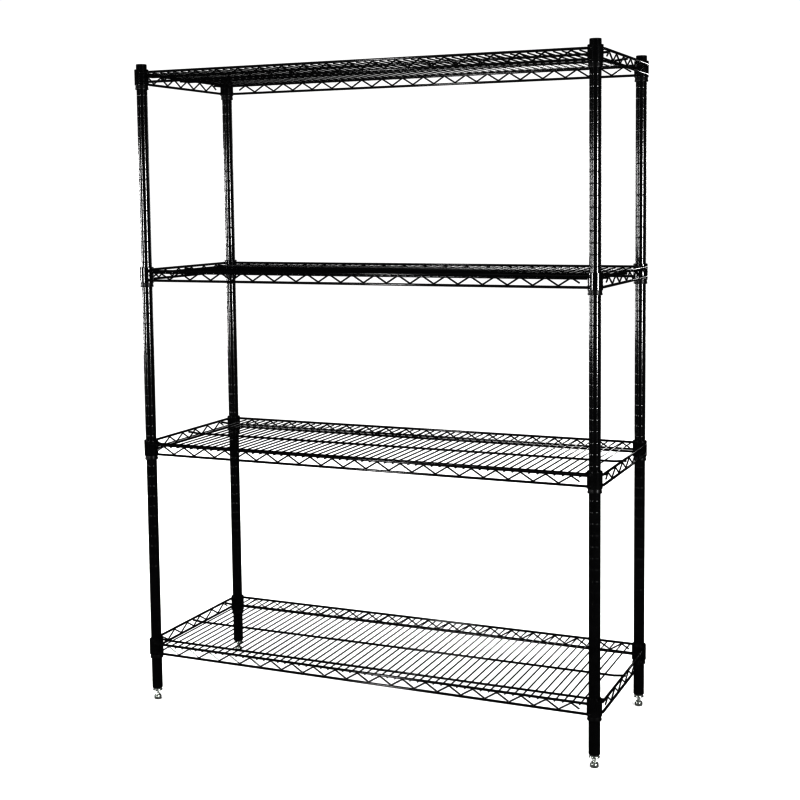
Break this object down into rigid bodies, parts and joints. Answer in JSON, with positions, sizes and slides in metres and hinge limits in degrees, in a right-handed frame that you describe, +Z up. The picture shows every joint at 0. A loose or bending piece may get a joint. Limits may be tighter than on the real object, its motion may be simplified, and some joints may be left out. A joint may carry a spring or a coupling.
{
  "type": "wire shelving rack",
  "caption": "Free-standing black wire shelving rack: open wire shelves clipped to round grooved posts with levelling feet.",
  "frame": {"origin": "the middle of the footprint, at floor level", "axes": "+Z up along the posts, +X to the right along the long side, front at -Y"},
  "size_m": [1.1796, 0.4456, 1.5914],
  "materials": {
    "post_epoxy": "glossy black epoxy powder coat over grooved steel tube",
    "wire_epoxy": "glossy black epoxy powder coat over welded steel wire",
    "cap_plastic": "satin black moulded plastic",
    "sleeve_plastic": "satin black moulded plastic",
    "zinc": "bright zinc plate"
  },
  "bodies": {
    "rack": {"post_front_left": "post_epoxy", "post_front_right": "post_epoxy", "post_back_left": "post_epoxy", "post_back_right": "post_epoxy", "post_cap_front_left": "cap_plastic", "post_cap_front_right": "cap_plastic", "post_cap_back_left": "cap_plastic", "post_cap_back_right": "cap_plastic", "foot_insert_front_left": "zinc", "foot_insert_front_right": "zinc", "foot_insert_back_left": "zinc", "foot_insert_back_right": "zinc", "shelf_1": "wire_epoxy", "sleeve_1_front_left_back_half": "sleeve_plastic", "sleeve_1_front_left_front_half": "sleeve_plastic", "sleeve_1_front_right_back_half": "sleeve_plastic", "sleeve_1_front_right_front_half": "sleeve_plastic", "sleeve_1_back_left_back_half": "sleeve_plastic", "sleeve_1_back_left_front_half": "sleeve_plastic", "sleeve_1_back_right_back_half": "sleeve_plastic", "sleeve_1_back_right_front_half": "sleeve_plastic", "sleeve_2_front_left_back_half": "sleeve_plastic", "sleeve_2_front_left_front_half": "sleeve_plastic", "sleeve_2_front_right_back_half": "sleeve_plastic", "sleeve_2_front_right_front_half": "sleeve_plastic", "sleeve_2_back_left_back_half": "sleeve_plastic", "sleeve_2_back_left_front_half": "sleeve_plastic", "sleeve_2_back_right_back_half": "sleeve_plastic", "sleeve_2_back_right_front_half": "sleeve_plastic", "sleeve_3_front_left_back_half": "sleeve_plastic", "sleeve_3_front_left_front_half": "sleeve_plastic", "sleeve_3_front_right_back_half": "sleeve_plastic", "sleeve_3_front_right_front_half": "sleeve_plastic", "sleeve_3_back_left_back_half": "sleeve_plastic", "sleeve_3_back_left_front_half": "sleeve_plastic", "sleeve_3_back_right_back_half": "sleeve_plastic", "sleeve_3_back_right_front_half": "sleeve_plastic", "sleeve_4_front_left_back_half": "sleeve_plastic", "sleeve_4_front_left_front_half": "sleeve_plastic", "sleeve_4_front_right_back_half": "sleeve_plastic", "sleeve_4_front_right_front_half": "sleeve_plastic", "sleeve_4_back_left_back_half": "sleeve_plastic", "sleeve_4_back_left_front_half": "sleeve_plastic", "sleeve_4_back_right_back_half": "sleeve_plastic", "sleeve_4_back_right_front_half": "sleeve_plastic"},
    "lifting_shelf_2": {"shelf_2": "wire_epoxy"},
    "lifting_shelf_3": {"shelf_3": "wire_epoxy"},
    "lifting_shelf_4": {"shelf_4": "wire_epoxy"},
    "screw_foot_front_left": {"levelling_foot_front_left": "zinc"},
    "screw_foot_front_right": {"levelling_foot_front_right": "zinc"},
    "screw_foot_back_left": {"levelling_foot_back_left": "zinc"},
    "screw_foot_back_right": {"levelling_foot_back_right": "zinc"}
  },
  "joints": [
    {"name": "shelf_2_lift", "type": "slide", "parent": "rack", "child": "lifting_shelf_2", "axis": [0, 0, 1], "range_m": [0, 0.37]},
    {"name": "shelf_3_lift", "type": "slide", "parent": "rack", "child": "lifting_shelf_3", "axis": [0, 0, 1], "range_m": [0, 0.42]},
    {"name": "shelf_4_lift", "type": "slide", "parent": "rack", "child": "lifting_shelf_4", "axis": [0, 0, 1], "range_m": [0, 0.06]},
    {"name": "front_left_foot_screw", "type": "slide", "parent": "rack", "child": "screw_foot_front_left", "axis": [0, 0, 1], "range_m": [-0.012, 0.008]},
    {"name": "front_right_foot_screw", "type": "slide", "parent": "rack", "child": "screw_foot_front_right", "axis": [0, 0, 1], "range_m": [-0.012, 0.008]},
    {"name": "back_left_foot_screw", "type": "slide", "parent": "rack", "child": "screw_foot_back_left", "axis": [0, 0, 1], "range_m": [-0.012, 0.008]},
    {"name": "back_right_foot_screw", "type": "slide", "parent": "rack", "child": "screw_foot_back_right", "axis": [0, 0, 1], "range_m": [-0.012, 0.008]}
  ]
}
